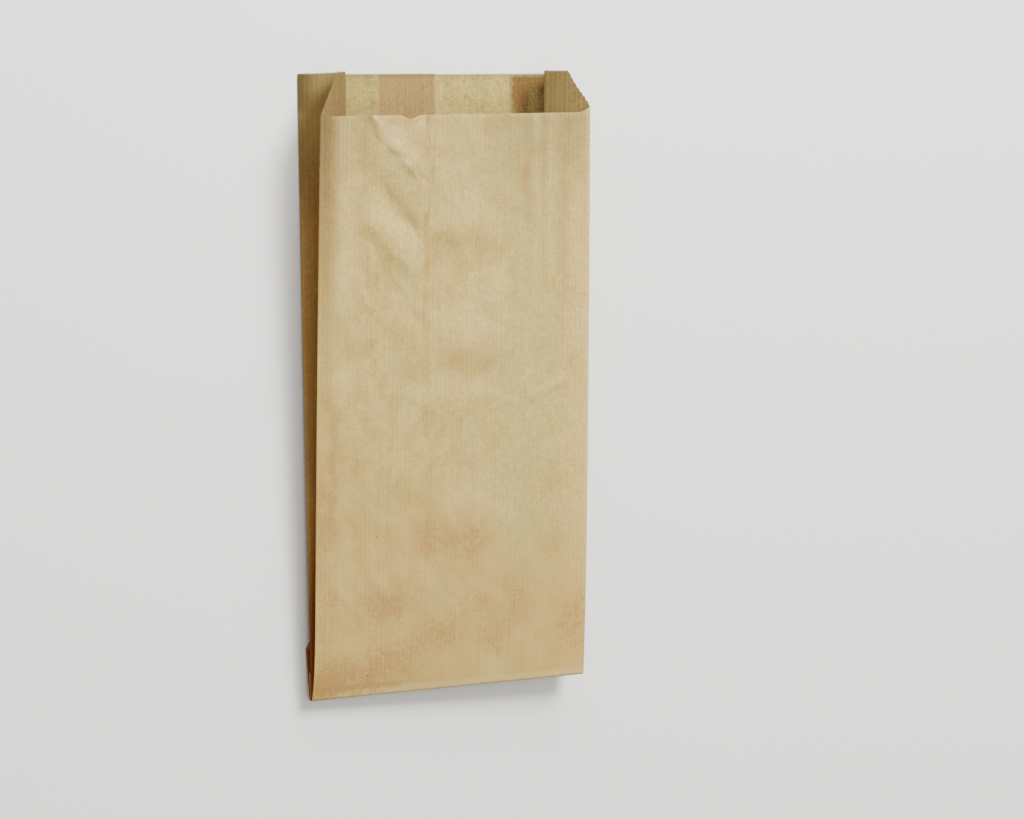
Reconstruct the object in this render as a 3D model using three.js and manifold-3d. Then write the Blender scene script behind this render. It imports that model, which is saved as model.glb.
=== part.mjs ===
// A kraft paper bakery bag, open and empty: one sheet folded to a tube with a V-folded gusset at
// each side, its bottom end folded under as a flap, and its mouth cut with a stepped, toothed edge.
// It lies on its back panel with the front panel up.
//
// Frame: millimetres, +Z up. The bag lies on z = 0 with its mouth towards +Y. x = 0 is the middle
// of its width and y = 0 the middle of its length. Inside this file heights along the bag are
// measured from the bottom fold, and the finished body is moved back by half its length.
import * as THREE from "three";
import { mergeVertices } from "three/addons/utils/BufferGeometryUtils.js";
import Module from "manifold-3d";

const wasm = await Module();
wasm.setup();

// Driving dimensions.
const WIDTH = 140; // front and back panel, crease to crease
const BACK_LENGTH = 282.4; // bottom fold to the points of the back panel's teeth
const FRONT_LENGTH = 264.8; // bottom fold to the lower, smooth edge of the front panel
const GUSSET = 21.8; // one gusset half, from its crease to the middle fold
const MOUTH = { left: 22.5, right: 21 }; // height of the front panel's edge at the two corners
const WALL = 0.5; // thickness of the modelled paper

// How the empty bag holds itself.
const FOLD_HEIGHT = { left: 5.7, right: 11.9 }; // the flap props up the ends of the bottom fold
const PINCH = 3; // height of all the folded layers at the bottom fold
const REST_LENGTH = 200; // from here to the mouth the back panel lies flat
const SPRING = 2.4; // how far the front panel springs up beside the bottom fold
const SPRING_REACH = 14; // the length over which it springs up
const SLIT = 0.2; // clear gap left inside a closed crease

// The cut of the mouth.
const LIP_SAG = 0.9; // the front edge is this much lower at the left than at the right
const CORNER_RISE = 3; // the front edge climbs at the right corner, where the crease is soft
const CORNER_WIDTH = 7; // the width over which it climbs
const SLANT = { left: 0.65, right: 0.51 }; // share of the front gusset half cut on the slant
const FOLD_LIFT = 1; // the gusset folds stand a little above the back panel
const TOOTH_DEPTH = 0.7;
const TEETH_IN_CELL = { panel: 7, gusset: 4 }; // one tooth is about 1.4 wide

// The bottom flap.
const FLAP_LENGTH = 26.5;
const FLAP_THICKNESS = 1.2; // four layers of paper pressed together
const FLAP_CORNER = { width: 2.2, length: 3.3 }; // cut off at both ends of its free edge

// The mesh.
const PANEL_CELLS = 14;
const GUSSET_CELLS = 4;
const FRONT_EDGE_STEPS = 4; // steps of the smooth front edge in one cell
const ROWS = 18;
const ROWS_TOP = 246; // the last level row; above it the rows follow the cut
const ROWS_CROWDING = 1.5; // above 1, rows stand closer together near the bottom fold
const TOOTH_BAND = 3; // the strip below the cut that joins the teeth to the cells

const { lerp, smoothstep } = THREE.MathUtils;
const SIGN = { left: -1, right: 1 };

// Heights and inset of the creases and the gusset fold on one side of the bag, y up from the bottom.
function creasesAt(side, y) {
  const rise = y / FRONT_LENGTH;
  const spring = SPRING * (1 - Math.exp(-y / SPRING_REACH)) * (1 - rise);
  const front = lerp(FOLD_HEIGHT[side], MOUTH[side], rise) + spring;
  const back = (FOLD_HEIGHT[side] - PINCH) * Math.max(0, 1 - y / REST_LENGTH) ** 2;
  const middle = (front + back) / 2;
  const inset = Math.sqrt(GUSSET ** 2 - ((front - back) / 2) ** 2);
  return { front, back, middle, inset };
}

// The four kinds of panel. Each gives the outer and inner face of the paper at height y, with t
// going from 0 to 1 across the panel.
function frontPanel(t) {
  return (y) => {
    const x = lerp(-WIDTH / 2, WIDTH / 2, t);
    const z = lerp(creasesAt("left", y).front, creasesAt("right", y).front, t);
    return { outer: [x, z], inner: [x * (1 - (2 * WALL) / WIDTH), z - WALL] };
  };
}

function backPanel(t) {
  return (y) => {
    const x = lerp(WIDTH / 2, -WIDTH / 2, t);
    const z = lerp(creasesAt("right", y).back, creasesAt("left", y).back, t);
    return { outer: [x, z], inner: [x * (1 - (2 * WALL) / WIDTH), z + WALL] };
  };
}

// t is 0 at the front crease and 1 at the fold.
function frontGusset(side, t) {
  return (y) => {
    const { front, middle, inset } = creasesAt(side, y);
    const x = SIGN[side] * (WIDTH / 2 - t * inset);
    const z = lerp(front - 2 * WALL - SLIT, middle + SLIT / 2, t);
    return { outer: [x, z], inner: [x - SIGN[side] * WALL, z + WALL] };
  };
}

// t is 0 at the back crease and 1 at the fold.
function backGusset(side, t) {
  return (y) => {
    const { back, middle, inset } = creasesAt(side, y);
    const x = SIGN[side] * (WIDTH / 2 - t * inset);
    const z = lerp(back + 2 * WALL + SLIT, middle - SLIT / 2, t);
    return { outer: [x, z], inner: [x - SIGN[side] * WALL, z - WALL] };
  };
}

// Height of the cut across each kind of panel, without its teeth.
function frontCut(t) {
  const x = t * WIDTH;
  const corner = CORNER_RISE * smoothstep(x, WIDTH - CORNER_WIDTH, WIDTH);
  return FRONT_LENGTH - LIP_SAG * (1 - t * t) + corner;
}

function frontGussetCut(side, t) {
  const foot = frontCut(side === "left" ? 0 : 1);
  const top = BACK_LENGTH + FOLD_LIFT * t;
  return lerp(foot, top, Math.min(1, t / SLANT[side]));
}

function backGussetCut(t) {
  return BACK_LENGTH + FOLD_LIFT * t;
}

// The stations around the tube: left to right over the front panel, in and out of the right gusset,
// right to left over the back panel, in and out of the left gusset. Whole stations begin a cell,
// and the ones between them carry the teeth of the cut.
function stationsAround() {
  const stations = [];
  const addPanel = (cells, steps, toothed, place, cut) => {
    for (let i = 0; i <= cells * steps; i++) {
      const t = i / (cells * steps);
      const tooth = toothed && i % 2 === 0 ? TOOTH_DEPTH : 0;
      stations.push({ place: place(t), cut: cut(t) - tooth, whole: i % steps === 0 });
    }
  };
  const panelSteps = 2 * TEETH_IN_CELL.panel;
  const gussetSteps = 2 * TEETH_IN_CELL.gusset;
  const gusset = (place, cut) => addPanel(GUSSET_CELLS, gussetSteps, true, place, cut);
  addPanel(PANEL_CELLS, FRONT_EDGE_STEPS, false, frontPanel, frontCut);
  gusset((t) => frontGusset("right", t), (t) => frontGussetCut("right", t));
  gusset((t) => backGusset("right", 1 - t), (t) => backGussetCut(1 - t));
  addPanel(PANEL_CELLS, panelSteps, true, backPanel, () => BACK_LENGTH);
  gusset((t) => backGusset("left", t), backGussetCut);
  gusset((t) => frontGusset("left", 1 - t), (t) => frontGussetCut("left", 1 - t));
  return stations;
}

// One face of the paper: rows of points up to the toothed cut.
function faceRows(stations, face, bottom) {
  const point = (station, y) => {
    const [x, z] = station.place(y)[face];
    return [x, y, z];
  };
  const whole = stations.filter((station) => station.whole);
  const rows = [];
  for (let j = 0; j <= ROWS; j++) {
    const y = Math.max(bottom, ROWS_TOP * (j / ROWS) ** ROWS_CROWDING);
    rows.push(whole.map((station) => point(station, y)));
  }
  rows.push(whole.map((station) => point(station, station.cut - TOOTH_BAND)));
  rows.push(stations.map((station) => point(station, station.cut)));
  return rows;
}

// Cells of the front panel and its two gusset halves, then of the back panel and its two.
const CELLS_HALF_ROUND = [PANEL_CELLS, GUSSET_CELLS, GUSSET_CELLS];
const CELLS_AROUND = [...CELLS_HALF_ROUND, ...CELLS_HALF_ROUND];

// Collects points and triangles, and turns them into a solid. A row is a list of point numbers.
class Skin {
  points = [];
  triangles = [];

  addRow(row) {
    const first = this.points.length;
    row.forEach((point) => this.points.push(point));
    return row.map((_, i) => first + i);
  }

  // A strip between two closed rows of equal length. flip turns its faces round.
  strip(below, above, flip) {
    below.forEach((a, i) => {
      const next = (i + 1) % below.length;
      this.face(a, below[next], above[next], flip);
      this.face(a, above[next], above[i], flip);
    });
  }

  // A strip from a row of cells up to a finer row: each cell fans out to its own fine points.
  fan(below, above, stations, flip) {
    const starts = [];
    stations.forEach((station, i) => station.whole && starts.push(i));
    below.forEach((a, cell) => {
      const b = below[(cell + 1) % below.length];
      const from = starts[cell];
      const to = starts[cell + 1] ?? above.length;
      const middle = Math.floor((from + to) / 2);
      for (let i = from; i < to; i++) {
        this.face(i < middle ? a : b, above[(i + 1) % above.length], above[i], flip);
      }
      this.face(a, b, above[middle % above.length], flip);
    });
  }

  // A flat strip between two chains of points that both run from left to right.
  zip(lower, upper, flip) {
    const x = (i) => this.points[i]?.[0] ?? Infinity;
    let low = 0;
    let up = 0;
    while (low < lower.length - 1 || up < upper.length - 1) {
      if (x(upper[up + 1]) <= x(lower[low + 1])) {
        this.face(lower[low], upper[up + 1], upper[up], flip);
        up += 1;
      } else {
        this.face(lower[low], lower[low + 1], upper[up], flip);
        low += 1;
      }
    }
  }

  // The flat end of the tube at the bottom fold: the layers above the gussets' slits, those below
  // them, and the thin piece between the two folds.
  lid(row, flip) {
    const panels = [];
    let from = 0;
    for (const cells of CELLS_AROUND) {
      panels.push(row.slice(from, from + cells + 1));
      from += cells + 1;
    }
    const [front, rightFront, rightBack, back, leftBack, leftFront] = panels;
    const aboveSlit = [...leftFront.reverse(), ...rightFront.reverse()];
    const belowSlit = [...leftBack, ...rightBack];
    this.zip(aboveSlit, front, flip);
    this.zip(back.reverse(), belowSlit, flip);
    const folds = [GUSSET_CELLS, GUSSET_CELLS + 1];
    this.zip(folds.map((i) => belowSlit[i]), folds.map((i) => aboveSlit[i]), flip);
  }

  face(a, b, c, flip) {
    this.triangles.push(flip ? [a, c, b] : [a, b, c]);
  }

  solid() {
    return new wasm.Manifold(
      new wasm.Mesh({
        numProp: 3,
        vertProperties: new Float32Array(this.points.flat()),
        triVerts: new Uint32Array(this.triangles.flat()),
      }),
    );
  }
}

function paperTube() {
  const stations = stationsAround();
  const skin = new Skin();
  const outer = faceRows(stations, "outer", 0).map((row) => skin.addRow(row));
  const inner = faceRows(stations, "inner", WALL).map((row) => skin.addRow(row));
  for (const [rows, flip] of [[outer, false], [inner, true]]) {
    for (let j = 0; j < rows.length - 2; j++) {
      skin.strip(rows[j], rows[j + 1], flip);
    }
    skin.fan(rows.at(-2), rows.at(-1), stations, flip);
    skin.lid(rows[0], flip);
  }
  skin.strip(outer.at(-1), inner.at(-1), false);
  return skin.solid();
}

// How far the flap drops from the bottom fold to the table at one end of the fold. Its upper face
// starts inside the wall of the back panel, so the two are one body.
function flapDrop(side) {
  return creasesAt(side, 0).back + WALL / 2 - FLAP_THICKNESS;
}

// The flap slopes from under the bottom fold down to the table, where its free edge rests. It drops
// further at the right, where the fold is propped higher.
function bottomFlap() {
  const right = WIDTH / 2;
  const long = FLAP_LENGTH;
  const short = FLAP_LENGTH - FLAP_CORNER.length;
  const edge = right - FLAP_CORNER.width;
  const outline = [[-right, 0], [right, 0], [right, short], [edge, long], [-edge, long], [-right, short]];
  const shape = new THREE.Shape(outline.map(([x, y]) => new THREE.Vector2(x, y)));
  const slab = new THREE.ExtrudeGeometry(shape, { depth: FLAP_THICKNESS, bevelEnabled: false });
  const corners = slab.attributes.position;
  for (let i = 0; i < corners.count; i++) {
    const drop = lerp(flapDrop("left"), flapDrop("right"), (corners.getX(i) + right) / WIDTH);
    const along = corners.getY(i);
    corners.setY(i, along * Math.cos(Math.asin(drop / FLAP_LENGTH)));
    corners.setZ(i, corners.getZ(i) + drop * (1 - along / FLAP_LENGTH));
  }
  slab.deleteAttribute("normal");
  slab.deleteAttribute("uv");
  const merged = mergeVertices(slab);
  return new wasm.Manifold(
    new wasm.Mesh({
      numProp: 3,
      vertProperties: merged.attributes.position.array,
      triVerts: new Uint32Array(merged.index.array),
    }),
  );
}

function geometryOf(solid) {
  const { vertProperties, triVerts } = solid.getMesh();
  const geometry = new THREE.BufferGeometry();
  geometry.setAttribute("position", new THREE.BufferAttribute(vertProperties, 3));
  geometry.setIndex(new THREE.BufferAttribute(triVerts, 1));
  geometry.computeVertexNormals();
  return geometry;
}

const kraftPaper = new THREE.MeshStandardMaterial({
  color: 0xc6b48e,
  roughness: 0.85,
  metalness: 0,
});

const bag = new THREE.Mesh(geometryOf(paperTube().add(bottomFlap())), kraftPaper);
bag.name = "paper_bag";
bag.position.y = -(BACK_LENGTH + FOLD_LIFT) / 2;

const group = new THREE.Group();
group.add(bag);

export default group;
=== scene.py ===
# %% [markdown]
# # A kraft paper bag, folded from one flat sheet
#
# A bakery bag is one strip of brown kraft paper. A machine pastes its two long edges into a tube,
# tucks a V-shaped gusset into each side, cuts the tube with a toothed knife and folds its bottom
# end under. A bag could be lofted as a shell, but a lofted shell has no crease that lies where the
# machine puts it. This script follows the machine instead: it starts with a flat sheet, cuts it,
# creases it and folds it, so that every panel keeps its length and the ribs of the paper run
# through the folds as they do in the real thing.

from math import pi, radians

import bmesh
import bpy
import numpy as np
from mathutils import Matrix, Vector


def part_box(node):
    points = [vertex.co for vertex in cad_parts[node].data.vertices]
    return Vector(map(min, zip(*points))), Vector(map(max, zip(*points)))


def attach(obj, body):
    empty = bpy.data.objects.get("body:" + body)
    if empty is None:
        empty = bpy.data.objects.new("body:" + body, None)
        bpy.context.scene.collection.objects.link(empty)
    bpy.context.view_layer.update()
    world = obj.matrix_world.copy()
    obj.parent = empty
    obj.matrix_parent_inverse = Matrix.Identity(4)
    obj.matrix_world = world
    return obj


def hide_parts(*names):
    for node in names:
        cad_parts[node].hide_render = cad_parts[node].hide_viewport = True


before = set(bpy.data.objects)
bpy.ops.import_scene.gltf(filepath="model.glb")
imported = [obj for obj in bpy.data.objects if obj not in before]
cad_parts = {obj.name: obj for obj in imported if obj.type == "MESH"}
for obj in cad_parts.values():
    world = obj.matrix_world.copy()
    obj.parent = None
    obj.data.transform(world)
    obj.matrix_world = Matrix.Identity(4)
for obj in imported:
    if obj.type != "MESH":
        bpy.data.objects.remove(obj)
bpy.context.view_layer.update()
bag_low, bag_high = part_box("paper_bag")
print("the bag's box in mm:", [round(1000 * side, 1) for side in bag_high - bag_low])

# %% [markdown]
# The width comes from the frame, and so does the place of the bottom fold, so the dressed bag
# can't drift away from the solid that it stands for. The other sizes, in millimetres, are those of
# the sheet of paper. Some differ from the solid by a millimetre or so, because the solid has thick
# walls and square folds. Along the bag, y counts from the bottom fold to the mouth.

# %% Sizes of the bag
MM = 0.001
PER_METRE = 1000
WIDTH = (bag_high.x - bag_low.x) / MM
BOTTOM = bag_low.y / MM
BACK_LENGTH = 282.65
FRONT_LENGTH = 264.35
GUSSET = 21.8  # half a gusset, from a crease to the fold inside
MOUTH = {"left": 22.5, "right": 22.0}  # height of the open mouth at its sides
FLAP_LENGTH = 27.6
SLANT = {"left": 0.65, "right": 0.49}  # how much of a half gusset the slanting cut takes
FOLD_LIFT = 1.3  # the cut stands this much higher at the gussets' folds
HALF = WIDTH / 2
print("width", round(WIDTH, 1), "length", BACK_LENGTH, "gusset", GUSSET)

# %% [markdown]
# Paper is a tenth of a millimetre thick, and where it is folded flat, four layers and the air
# between them lie on top of each other. The solid rounds that off. Here each layer gets its own
# height, so that nothing cuts through its neighbour.

# %% Thickness of the paper and how the empty bag holds itself
PAPER = 0.12
AIR = 0.03
PINCH = 0.8  # the two panels are this far apart at the bottom fold
FOLD_HEIGHT = {"left": 5.7, "right": 12.9}  # of the front panel at the bottom fold
REST = {"left": (268.0, 1.15), "right": (200.0, 2.0)}  # where the back comes to rest, and how softly
SPRING = {"left": (3.4, 12.0, 2.0), "right": (2.75, 55.0, 0.8)}  # height, reach and fading
LAYER = 2 * PAPER + AIR  # from a panel to the half of the gusset next to it
GROOVE = 0.2  # keeps the two halves of a gusset apart at their fold
print("the gussets keep", round(LAYER, 2), "mm away from the panels")


# %% Soft steps
def lerp(start, end, amount):
    """Part of the way from start to end."""
    return start + (end - start) * amount


def smooth(value, start, end):
    """0 before start, 1 after end, and a soft slope between them."""
    t = np.clip((value - start) / (end - start), 0, 1)
    return t * t * (3 - 2 * t)


# %% Heights of the creases and the panels
HALF_WAY = 140.0


def crease_heights(side, y):
    """Heights of the front and the back crease on one side."""
    rise = y / FRONT_LENGTH
    height, reach, fading = SPRING[side]
    spring = height * (1 - np.exp(-y / reach)) * np.maximum(0, 1 - rise) ** fading
    front = lerp(FOLD_HEIGHT[side], MOUTH[side], rise) + spring
    length, softness = REST[side]
    back = (FOLD_HEIGHT[side] - PINCH) * np.maximum(0, 1 - y / length) ** softness
    return front, back


def panel_heights(x, y):
    """Heights of the front and the back panel, which run straight from side to side."""
    left, right = crease_heights("left", y), crease_heights("right", y)
    across = (x + HALF) / WIDTH
    return lerp(left[0], right[0], across), lerp(left[1], right[1], across)


def gusset_fold(side, y):
    """Place across the bag and height of the fold inside a gusset, half way between the panels."""
    front, back = crease_heights(side, y)
    inset = np.sqrt(GUSSET**2 - ((front - back) / 2) ** 2)
    x = (HALF - inset) * (1 if side == "right" else -1)
    front, back = panel_heights(x, y)
    return x, (front + back) / 2


for side in ("left", "right"):
    fold_place = [round(float(value), 1) for value in gusset_fold(side, HALF_WAY)]
    print(side, "gusset half way up: its fold is this far across and this high:", fold_place)

# %% [markdown]
# ## The camera
#
# The bag lies on its back, because an empty bag can't stand. The camera looks down on it, turned
# towards its left side, so that one gusset and a little of the inside show. A long lens keeps the
# sides nearly parallel, as in a catalogue picture.

# %% Camera
LOOK_AT = Vector((0, 141.2 + BOTTOM, 0)) * MM
TURN = 30.0  # towards the left side, in degrees, as the next two are
TILT = 5.61  # towards the mouth
ROLL = 0.46
DISTANCE = 1549.0
AIM = (34.25, -12.69)  # how far the middle of the picture is from the middle of the bag
LENS = 118.24
SENSOR = 36
view = (
    Matrix.Rotation(radians(ROLL), 3, "Z")
    @ Matrix.Rotation(radians(TILT), 3, "X")
    @ Matrix.Rotation(radians(TURN), 3, "Y")
).transposed()
bpy.ops.object.camera_add(location=LOOK_AT + view @ Vector((AIM[0], AIM[1], DISTANCE)) * MM)
camera = bpy.context.object
camera.name = "camera"
camera.rotation_euler = view.to_euler()
camera.data.lens = LENS
camera.data.sensor_width = SENSOR
bpy.context.scene.camera = camera
print("the camera stands", round(camera.location.length, 2), "m away")

# %% [markdown]
# ## Floor and light
#
# A pale floor and soft light, as in a small studio. One broad lamp stands beyond the mouth and to
# the right. It leaves the left gusset in its own shade and rakes over the front panel, so that each
# wrinkle has a light side and a dark one. The lamp overhead and the sky are weak for the same
# reason. A small lamp straight beyond the mouth, low over the floor, fills the hollow inside.

# %% Floor
FLOOR_DROP = 0.0002  # metres under the bag, so that the two faces never coincide
bpy.ops.mesh.primitive_plane_add(size=8, location=(0, 0, -FLOOR_DROP))
floor = bpy.context.object
floor.name = "floor"
floor_paint = bpy.data.materials.new("pale_floor")
floor_paint.use_nodes = True
floor_shader = floor_paint.node_tree.nodes["Principled BSDF"]
floor_shader.inputs["Base Color"].default_value = (0.9, 0.9, 0.89, 1)
floor_shader.inputs["Roughness"].default_value = 0.9
floor.data.materials.append(floor_paint)
print("the floor is", floor.dimensions.x, "m wide")


# %% Lamps
WARM = (1.0, 0.985, 0.96)
SOFT_WARM = (1.0, 0.99, 0.97)
SKY_STRENGTH = 0.38


def add_lamp(name, place, size, power, colour):
    """A square lamp that looks at the middle of the bag. Place and size are in metres."""
    bpy.ops.object.light_add(type="AREA", location=place)
    lamp = bpy.context.object
    lamp.name = name
    lamp.data.size = size
    lamp.data.energy = power
    lamp.data.color = colour
    lamp.rotation_euler = Vector(place).to_track_quat("Z", "Y").to_euler()
    return lamp


add_lamp("broad_lamp", place=(0.95, 1.75, 1.6), size=1.1, power=145, colour=WARM)
add_lamp("top_lamp", place=(-0.1, 0.0, 2.0), size=1.6, power=18, colour=SOFT_WARM)
mouth_lamp = add_lamp("mouth_lamp", place=(0.05, 0.8, 0.2), size=0.3, power=7, colour=WARM)
mouth_lamp.visible_camera = False  # it stands where other views would show it as a white square
world = bpy.data.worlds.new("studio")
world.use_nodes = True
sky = world.node_tree.nodes["Background"]
sky.inputs["Color"].default_value = (*SOFT_WARM, 1)
sky.inputs["Strength"].default_value = SKY_STRENGTH
bpy.context.scene.world = world

# %% [markdown]
# ## The flat sheet
#
# Laid flat, the paper is a rectangle. Across it, u runs once around the tube: from the lap that
# lies inside the seam, over the left gusset, the front panel and the right gusset, back to the lap
# that lies outside. Along it, v runs from the end of the bottom flap up to the mouth. A grid is a
# good start for a sheet: its lines are where the folds will be.

# %% The folds of the sheet
LAP_INSIDE = -0.1  # where the two edges of the seam lie on the back panel
LAP_OUTSIDE = -29.2
LAP_END = LAP_INSIDE - LAP_OUTSIDE  # up to this u, the seam is of two layers
LEFT_BACK = HALF + LAP_INSIDE
LEFT_FOLD = LEFT_BACK + GUSSET
LEFT_FRONT = LEFT_FOLD + GUSSET
RIGHT_FRONT = LEFT_FRONT + WIDTH
RIGHT_FOLD = RIGHT_FRONT + GUSSET
RIGHT_BACK = RIGHT_FOLD + GUSSET
SHEET_WIDTH = RIGHT_BACK + HALF - LAP_OUTSIDE
CREASES = [LEFT_BACK, LEFT_FOLD, LEFT_FRONT, RIGHT_FRONT, RIGHT_FOLD, RIGHT_BACK]
INNER_TURN = 0.25  # radius of the innermost layer in the bottom fold
TURN_START = 1.3  # about where the turn begins
front_height, back_height = panel_heights(0.0, TURN_START)
TURN_RADIUS = front_height - back_height + INNER_TURN  # of the outermost layer
FOLD_LINE = TURN_RADIUS * (1 - pi / 2)  # the v of the lowest edge of the front panel
SHEET_TOP = BACK_LENGTH + FOLD_LIFT
SHEET_BOTTOM = FOLD_LINE - FLAP_LENGTH
print("the sheet is", round(SHEET_WIDTH, 1), "by", round(SHEET_TOP - SHEET_BOTTOM, 1), "mm")
print("creased at u =", [round(u, 1) for u in CREASES])

# %% Add the sheet
COLUMN_WIDTH = 2
COLUMNS = round(SHEET_WIDTH / COLUMN_WIDTH)
ROWS = 80
bpy.ops.object.select_all(action="DESELECT")
bpy.ops.mesh.primitive_grid_add(
    x_subdivisions=COLUMNS,
    y_subdivisions=ROWS,
    size=1,
    location=(SHEET_WIDTH / 2, (SHEET_TOP + SHEET_BOTTOM) / 2, 0),
)
bag = bpy.context.object
bag.name = "kraft_bag"
bag.scale = (SHEET_WIDTH, SHEET_TOP - SHEET_BOTTOM, 1)
bpy.ops.object.transform_apply(location=True, rotation=False, scale=True)
print("columns", COLUMNS, "rows", ROWS, "faces", len(bag.data.polygons))

# %% [markdown]
# ## Cutting
#
# The knife cuts the front panel shorter than the back, so that the mouth is easy to open, and
# climbs over the front half of each gusset on a slant. The same cut is the bottom end of the next
# bag, so the flap has the same outline. Bisect is the knife here. It could drop one side of its
# line at once, but that would tear points out of the next panel too, so it only scores the sheet,
# one stretch at a time, and the faces beyond the lines are deleted afterwards.


# %% Helpers that select and cut
def start_edit():
    """Edit the bag's mesh as faces, with nothing selected."""
    bpy.ops.object.mode_set(mode="EDIT")
    bpy.ops.mesh.select_mode(type="FACE")
    bpy.ops.mesh.select_all(action="DESELECT")


def select_faces(left, right, low=SHEET_BOTTOM, high=SHEET_TOP):
    """Select the faces between two lines along the sheet, or a stretch of them."""
    bpy.ops.mesh.select_mode(type="FACE")
    bpy.ops.mesh.select_all(action="DESELECT")
    mesh = bmesh.from_edit_mesh(bag.data)
    for face in mesh.faces:
        middle = face.calc_center_median()
        face.select_set(left < middle.x < right and low < middle.y < high)
    bmesh.update_edit_mesh(bag.data)


def score(line):
    """Cut the faces under each part of a line, from column to column, and drop nothing."""
    for start, end in zip(line, line[1:]):
        crease_column(end[0])
        select_faces(start[0], end[0])
        across_line = Vector((start[1] - end[1], end[0] - start[0], 0)).normalized()
        bpy.ops.mesh.bisect(plane_co=(*start, 0), plane_no=across_line)


def crease_row(v):
    """Put a row of points across the whole sheet, and drop nothing."""
    bpy.ops.mesh.select_all(action="SELECT")
    bpy.ops.mesh.bisect(plane_co=(0, v, 0), plane_no=(0, 1, 0))


def crease_column(u):
    """Put a column of points along the whole sheet, and drop nothing."""
    bpy.ops.mesh.select_all(action="SELECT")
    bpy.ops.mesh.bisect(plane_co=(u, 0, 0), plane_no=(1, 0, 0))


# %% Where the knife cuts
FLAP_BACK = BACK_LENGTH - (FRONT_LENGTH - SHEET_BOTTOM)  # where the short layers of the flap end
FLAP_CORNER = (2.2, 3.3)  # cut off at both ends of the flap's free edge
BACK_RISE = 0.5  # the left half of the back panel climbs this much towards its gusset
flap_side = SHEET_BOTTOM + FLAP_CORNER[1]
LEFT_SLANT = lerp(LEFT_FRONT, LEFT_FOLD, SLANT["left"])
RIGHT_SLANT = lerp(RIGHT_FRONT, RIGHT_FOLD, SLANT["right"])
MOUTH_CUT = [
    (0, BACK_LENGTH + BACK_RISE / 2),
    (LEFT_BACK, BACK_LENGTH + BACK_RISE),
    (LEFT_FOLD, BACK_LENGTH + FOLD_LIFT),
    (LEFT_SLANT, BACK_LENGTH + FOLD_LIFT),
    (LEFT_FRONT, FRONT_LENGTH),
    (RIGHT_FRONT, FRONT_LENGTH),
    (RIGHT_SLANT, BACK_LENGTH + FOLD_LIFT),
    (RIGHT_FOLD, BACK_LENGTH + FOLD_LIFT),
    (RIGHT_BACK, BACK_LENGTH),
    (SHEET_WIDTH, BACK_LENGTH),
]
BOTTOM_CUT = [
    (0, FLAP_BACK),
    (LEFT_SLANT, FLAP_BACK),
    (LEFT_FRONT, flap_side),
    (LEFT_FRONT + FLAP_CORNER[0], SHEET_BOTTOM),
    (RIGHT_FRONT - FLAP_CORNER[0], SHEET_BOTTOM),
    (RIGHT_FRONT, flap_side),
    (RIGHT_SLANT, FLAP_BACK),
    (SHEET_WIDTH, FLAP_BACK),
]
print("the flap's short layers end at", round(FLAP_BACK, 1), "and its long one at", round(SHEET_BOTTOM, 1))

# %% Cut the mouth and the bottom end
start_edit()
score(MOUTH_CUT)
score(BOTTOM_CUT)
bpy.ops.mesh.select_all(action="DESELECT")
mesh = bmesh.from_edit_mesh(bag.data)
for face in mesh.faces:
    middle = face.calc_center_median()
    top = np.interp(middle.x, *zip(*MOUTH_CUT))
    bottom = np.interp(middle.x, *zip(*BOTTOM_CUT))
    face.select_set(not bottom < middle.y < top)
bmesh.update_edit_mesh(bag.data)
bpy.ops.mesh.delete(type="FACE")
bpy.ops.object.mode_set(mode="OBJECT")
print("after the cuts:", len(bag.data.polygons), "faces")

# %% [markdown]
# The knife has teeth everywhere but along the front panel. One tooth is about 1.4 mm wide. The
# edges of the cut are split finely enough to carry them, and every point on them then moves down
# by a zigzag that depends on its place across the sheet, so the teeth pass unbroken over the folds.

# %% Cut the teeth
TOOTH_WIDTH = 1.4
TOOTH_DEPTH = 0.9
NEW_POINTS = 5  # on each edge between two columns
ON_LAP = 0.01  # closer than this to the sheet's side is on it
start_edit()
bpy.ops.mesh.select_mode(type="EDGE")
bpy.ops.mesh.select_all(action="DESELECT")
mesh = bmesh.from_edit_mesh(bag.data)


def on_toothed_cut(edge):
    """Whether an edge lies on the toothed part of the cut."""
    middle = (edge.verts[0].co + edge.verts[1].co) / 2
    on_front = LEFT_FRONT < middle.x < RIGHT_FRONT
    on_lap = middle.x < ON_LAP or middle.x > SHEET_WIDTH - ON_LAP
    return edge.is_boundary and not on_front and not on_lap


for edge in mesh.edges:
    edge.select_set(on_toothed_cut(edge))
bmesh.update_edit_mesh(bag.data)
bpy.ops.mesh.subdivide(number_cuts=NEW_POINTS)
mesh = bmesh.from_edit_mesh(bag.data)
toothed = {point for edge in mesh.edges if on_toothed_cut(edge) for point in edge.verts}
for point in toothed:
    phase = (point.co.x - LEFT_FRONT) / TOOTH_WIDTH % 1
    point.co.y -= TOOTH_DEPTH * (1 - abs(2 * phase - 1))
bmesh.update_edit_mesh(bag.data)
print("points on toothed edges:", len(toothed))

# %% [markdown]
# The front edge isn't quite straight. It sags a little towards the left, where the bag is open
# widest, has a small dent, and climbs at the right corner. These are shifts of the cut alone, so
# they fade out a short way down the panel, and up the slanting cuts of the gussets.

# %% Shape the front edge
LIP_SAG = 0.3
CORNER_RISE = 3.0
CORNER_WIDTH = 7.0
DENT_PLACE = -24.6  # from the middle of the panel
DENT_DEPTH = 1.8
DENT_WIDTH = 3.4
FADE_DOWN = (FRONT_LENGTH - 25, FRONT_LENGTH)
FADE_UP = (268, 282)


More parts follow.
